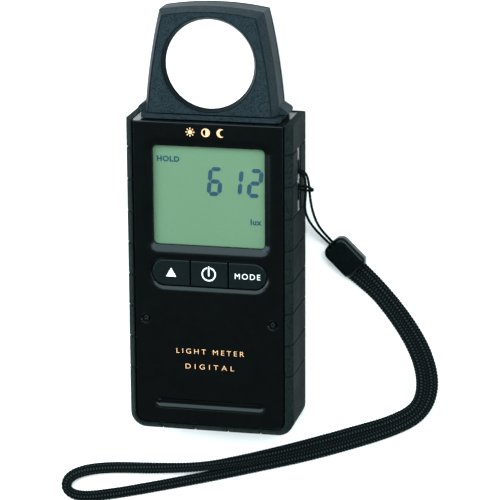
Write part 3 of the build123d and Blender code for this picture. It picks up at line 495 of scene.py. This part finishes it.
def woven(name, colour, light, pitch, rows, shine=0.5):
    """Yarn on a cord: rows of yarn tops, each as long as pitch, with a painted highlight along the tops and
    painted shade in the darker gaps between them.
    """
    material, tree, shader = new_material(name)
    place = tree.nodes.new("ShaderNodeTexCoord")
    parts = tree.nodes.new("ShaderNodeSeparateXYZ")
    tree.links.new(place.outputs["UV"], parts.inputs[0])
    row = add_math(tree, "MULTIPLY", parts.outputs["Y"], rows)
    shift = add_math(tree, "MULTIPLY", add_math(tree, "FLOOR", row), 0.5)
    run = add_math(tree, "ADD", add_math(tree, "MULTIPLY", parts.outputs["X"], UV_LENGTH / pitch), shift)
    yarn = add_math(tree, "MULTIPLY", wave(tree, row), wave(tree, run), True)
    crest_highlight_mask = add_math(tree, "POWER", yarn, CREST_POWER, True)
    fibre = place_group(tree, GRAIN, Size=FIBRE_SIZE)
    # painted highlight: the yarn tops take the light colour, and the gaps keep colour, partly the yarn's own
    # black and partly painted shade; the fibre specks then lean a little towards light
    tint = blend_colours(tree, crest_highlight_mask, colour, light)
    tint = blend_colours(tree, add_math(tree, "MULTIPLY", fibre.outputs["Speck"], FIBRE_TINT), tint, light)
    tree.links.new(tint, shader.inputs["Base Color"])
    tree.links.new(map_range(tree, crest_highlight_mask, to_min=shine + GAP_ROUGHER, to_max=shine), shader.inputs["Roughness"])
    shader.inputs["Specular IOR Level"].default_value = 0.03
    height = add_math(tree, "ADD", yarn, add_math(tree, "MULTIPLY", fibre.outputs["Height"], FIBRE_HEIGHT))
    bump = tree.nodes.new("ShaderNodeBump")
    bump.inputs["Distance"].default_value = YARN_BUMP * MM
    tree.links.new(height, bump.inputs["Height"])
    tree.links.new(bump.outputs["Normal"], shader.inputs["Normal"])
    return material


# each cord's dark colour is its black yarn, darkened as painted shade in the gaps, and its light colour is the
# painted highlight on the yarn tops
braid_black = woven("black braid", (0.0004, 0.0007, 0.0008), (0.022, 0.032, 0.034), BRAID_PITCH, BRAID_ROWS)
cord_black = woven("black cord", (0.0012, 0.0020, 0.0021), (0.012, 0.016, 0.017), CORD_PITCH, CORD_ROWS)


def dress(piece, material):
    """Gives a piece its material."""
    piece.data.materials.clear()
    piece.data.materials.append(material)


dress(braid, braid_black)
dress(cord, cord_black)

NODE_FINISH = {
    case_gloss: ["case_body"],
    cover_matte: ["rear_cover", "battery_door"],
    guard_rubber: ["rubber_guard"],
    head_plastic: ["swivel_foot", "head_front_shell", "head_rear_shell"],
    ring_black: ["diffuser_ring"],
    button_satin: ["up_button", "power_button", "mode_button"],
    cap_satin: ["strap_end_cap"],
    screw_black: ["front_screws"],
    plated_steel: ["rear_screws", "battery_springs", "battery_contacts", "swivel_washer", "retaining_clip",
                   "head_screws", "photodiode"],
    board_green: ["main_board", "sensor_board"],
    chip_epoxy: ["controller_chip", "board_components", "tact_switches", "filter_holder"],
    white_nylon: ["lead_connector", "lcd_holder", "lcd_reflector"],
    pink_strip: ["zebra_strips"],
    cell_foil: ["battery_cells"],
    filter_green: ["filter_glass"],
    lead_sheath: ["sensor_lead"],
    disc_white: ["diffuser_disc"],
    display_green: ["lcd_panel"],
    clear_window(): ["display_window"],
}
for material, names in NODE_FINISH.items():
    for name in names:
        dress(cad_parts[name], material)

# ---------------------------------------------------------------- printed marks and display segments

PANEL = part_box("case_body")[1].z
INK = 0.03 * MM             # thickness of a printed mark
WELD = 1e-7                 # metres within which a letter's points become one


def place_mark(name, mesh, material, body):
    """A printed mark that moves with a body."""
    piece = link_piece(name, mesh)
    dress(piece, material)
    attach(piece, body)


def flat_piece(name, shapes, level, material, body):
    """Thin printed shapes: each is a flat outline in millimetres, as thick as the ink."""
    build = bmesh.new()
    for outline in shapes:
        corners = [build.verts.new((x * MM, y * MM, level)) for x, y in outline]
        face = build.faces.new(corners)
        face.normal_update()
        if face.normal.z < 0:
            face.normal_flip()
        made = bmesh.ops.extrude_face_region(build, geom=[face])
        raised = [part for part in made["geom"] if isinstance(part, bmesh.types.BMVert)]
        bmesh.ops.translate(build, vec=(0, 0, INK), verts=raised)
    bmesh.ops.recalc_face_normals(build, faces=build.faces[:])
    mesh = bpy.data.meshes.new(name)
    build.to_mesh(mesh)
    build.free()
    place_mark(name, mesh, material, body)


def arc(x, y, radius, start, end, count):
    """Points on an arc between two angles, in degrees."""
    angles = [math.radians(start + (end - start) * i / count) for i in range(count + 1)]
    return [(x + radius * math.cos(a), y + radius * math.sin(a)) for a in angles]


def ring_outline(x, y, outer, inner, start, end, count=40):
    """An open ring between two angles, in degrees."""
    return arc(x, y, outer, start, end, count) + arc(x, y, inner, start, end, count)[::-1]


def bar(x0, y0, x1, y1, width):
    """A straight bar of some width."""
    along = Vector((x1 - x0, y1 - y0)).normalized()
    side = Vector((-along.y, along.x)) * width / 2
    return [(x0 + side.x, y0 + side.y), (x0 - side.x, y0 - side.y), (x1 - side.x, y1 - side.y),
            (x1 + side.x, y1 + side.y)]


def lettering(name, words, x0, x1, y0, y1, level, material, body, weight=0.0, spacing=1.12):
    """Generic plain lettering that fills a box on the panel."""
    data = bpy.data.curves.new(name, "FONT")
    data.body = words
    data.extrude = INK / 2 / MM
    data.offset = weight
    data.space_character = spacing
    draft = link_piece(name + "_draft", data)
    mesh = evaluated_mesh(draft)
    bpy.data.objects.remove(draft)
    places = [v.co.copy() for v in mesh.vertices]
    low = Vector([min(place[i] for place in places) for i in range(3)])
    high = Vector([max(place[i] for place in places) for i in range(3)])
    corner = Vector((x0 * MM, y0 * MM, level))
    size = Vector(((x1 - x0) * MM, (y1 - y0) * MM, INK))
    for v, place in zip(mesh.vertices, places):
        v.co = [corner[i] + (place[i] - low[i]) * size[i] / (high[i] - low[i]) for i in range(3)]
    build = bmesh.new()
    build.from_mesh(mesh)
    bmesh.ops.remove_doubles(build, verts=build.verts[:], dist=WELD)
    bmesh.ops.recalc_face_normals(build, faces=build.faces[:])
    build.to_mesh(mesh)
    build.free()
    place_mark(name, mesh, material, body)


SIGN_Y = 32.0
SUN_X, HALF_X, MOON_X = -5.9, -0.6, 4.6
SUN_RADIUS, RAY_START, RAY_END, RAY_WIDTH = 0.72, 0.98, 1.5, 0.34
SIGN_RADIUS = 1.45          # of the half-filled round and the crescent
HALF_INNER = 1.1
MOON_INNER = 1.19
CENTRE = 0.001              # inner radius of a filled round


def light_signs():
    """Three generic light-level signs in a row: a sun, a half-filled round and a crescent."""
    shapes = [ring_outline(SUN_X, SIGN_Y, SUN_RADIUS, CENTRE, 0, 359.9)]
    for i in range(8):
        a = math.radians(i * 45)
        c, s = math.cos(a), math.sin(a)
        shapes.append(bar(SUN_X + RAY_START * c, SIGN_Y + RAY_START * s, SUN_X + RAY_END * c,
                          SIGN_Y + RAY_END * s, RAY_WIDTH))
    shapes.append(ring_outline(HALF_X, SIGN_Y, SIGN_RADIUS, HALF_INNER, 90.5, 269.5))
    shapes.append(ring_outline(HALF_X, SIGN_Y, SIGN_RADIUS, CENTRE, -90, 90))
    outer = arc(MOON_X, SIGN_Y, SIGN_RADIUS, 55, 305, 30)
    inner = arc(MOON_X + SUN_RADIUS, SIGN_Y, MOON_INNER, 265, 95, 20)
    shapes.append(outer + inner[1:-1])
    return shapes


flat_piece("light_signs", light_signs(), PANEL, copper_ink, "meter_body")
lettering("panel_lettering", "LIGHT METER", -11.4, 12.0, -45.05, -43.35, PANEL, copper_ink, "meter_body",
          weight=-0.014, spacing=1.5)
lettering("kind_lettering", "DIGITAL", -8.3, 8.5, -50.4, -48.7, PANEL, copper_ink, "meter_body",
          weight=-0.014, spacing=1.7)

button_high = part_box("power_button")[1].z
up_triangle = [(-14.85, -18.4), (-11.4, -18.4), (-13.1, -15.3)]
power_mark = [ring_outline(-0.1, -16.9, 2.45, 2.02, 104, 436), bar(-0.1, -17.6, -0.1, -14.2, 0.44)]
flat_piece("up_sign", [up_triangle], button_high, white_ink, "up_button_cap")
flat_piece("power_sign", power_mark, button_high, white_ink, "power_button_cap")
lettering("mode_lettering", "MODE", 8.9, 17.6, -18.0, -16.1, button_high, white_ink, "mode_button_cap",
          weight=-0.008, spacing=1.3)

lcd_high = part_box("lcd_panel")[1].z
SEGMENT = 1.45              # width of a segment
SEGMENT_GAP = 0.12
SLANT = 0.1                 # how far a numeral leans for each millimetre of its height
DIGITS_LOW, DIGITS_HIGH = 9.8, 19.8


def digit(x0, x1, parts):
    """A seven-part numeral: a is the top, then clockwise to f at the upper left, and g is the middle."""
    h = SEGMENT / 2
    y0, y1 = DIGITS_LOW, DIGITS_HIGH
    m = (y0 + y1) / 2
    rows = {"a": y1 - h, "g": m, "d": y0 + h}
    posts = {"b": (x1 - h, m, y1 - h), "c": (x1 - h, y0 + h, m), "e": (x0 + h, y0 + h, m),
             "f": (x0 + h, m, y1 - h)}
    out = []
    for part in parts:
        if part in rows:
            y, a, b = rows[part], x0 + h + SEGMENT_GAP, x1 - h - SEGMENT_GAP
            shape = [(a, y), (a + h, y + h), (b - h, y + h), (b, y), (b - h, y - h), (a + h, y - h)]
        else:
            x, a, b = posts[part]
            a, b = a + SEGMENT_GAP, b - SEGMENT_GAP
            shape = [(x, a), (x + h, a + h), (x + h, b - h), (x, b), (x - h, b - h), (x - h, a + h)]
        out.append([(x + (y - m) * SLANT, y) for x, y in shape])
    return out


numerals = digit(-0.7, 4.4, "acdefg") + digit(6.2, 11.3, "bc") + digit(13.0, 18.1, "abdeg")
flat_piece("display_numerals", numerals, lcd_high, segment_ink, "meter_body")
lettering("hold_lettering", "HOLD", -18.1, -10.3, 20.9, 22.9, lcd_high, small_ink, "meter_body",
          weight=0.05)
lettering("unit_lettering", "lux", 13.9, 17.8, 0.4, 2.5, lcd_high, small_ink, "meter_body",
          weight=0.04)

# ---------------------------------------------------------------- floor and lights


FLOOR_SIZE = 6.0            # half its width, in metres
FLOOR_LEVEL = -0.05
FLOOR_COLOUR = (1.0, 0.92, 0.91)
LAMP_COLOUR = (0.82, 1.0, 1.03)
ROOM_COLOUR = (0.86, 0.95, 1.0)
ROOM_STRENGTH = 0.1
LAMPS = [                   # place and size in metres, power in watts
    ("top softbox", (-0.25, 0.66, 1.0), 1.3, 29),
    ("right softbox", (1.1, 0.1, 0.75), 0.8, 8.5),
    ("left softbox", (-1.1, 0.15, 0.8), 0.8, 12),
    ("front softbox", (0.15, -1.2, 0.2), 0.7, 7),
    ("camera-side softbox", (0.55, 0.6, 1.0), 0.5, 12.5),
]


def make_floor():
    """A plain pale floor."""
    build = bmesh.new()
    bmesh.ops.create_grid(build, x_segments=1, y_segments=1, size=FLOOR_SIZE)
    bmesh.ops.translate(build, vec=(0, 0, FLOOR_LEVEL * MM), verts=build.verts[:])
    mesh = bpy.data.meshes.new("floor")
    build.to_mesh(mesh)
    build.free()
    floor = link_piece("floor", mesh)
    material, _, shader = new_material("pale floor")
    shader.inputs["Base Color"].default_value = (*FLOOR_COLOUR, 1)
    shader.inputs["Roughness"].default_value = 0.9
    shader.inputs["Specular IOR Level"].default_value = 0.1
    floor.data.materials.append(material)


def make_light(name, place, size, power):
    """A soft square lamp that faces the meter."""
    data = bpy.data.lights.new(name, "AREA")
    data.shape = "SQUARE"
    data.size = size
    data.energy = power
    data.color = LAMP_COLOUR
    lamp = link_piece(name, data)
    away = Vector(place)
    lamp.matrix_world = Matrix.Translation(away) @ away.to_track_quat("Z", "Y").to_matrix().to_4x4()


make_floor()
for lamp in LAMPS:
    make_light(*lamp)
world = bpy.data.worlds.new("soft room")
world.use_nodes = True
room = world.node_tree.nodes["Background"]
room.inputs["Color"].default_value = (*ROOM_COLOUR, 1)
room.inputs["Strength"].default_value = ROOM_STRENGTH
scene.world = world
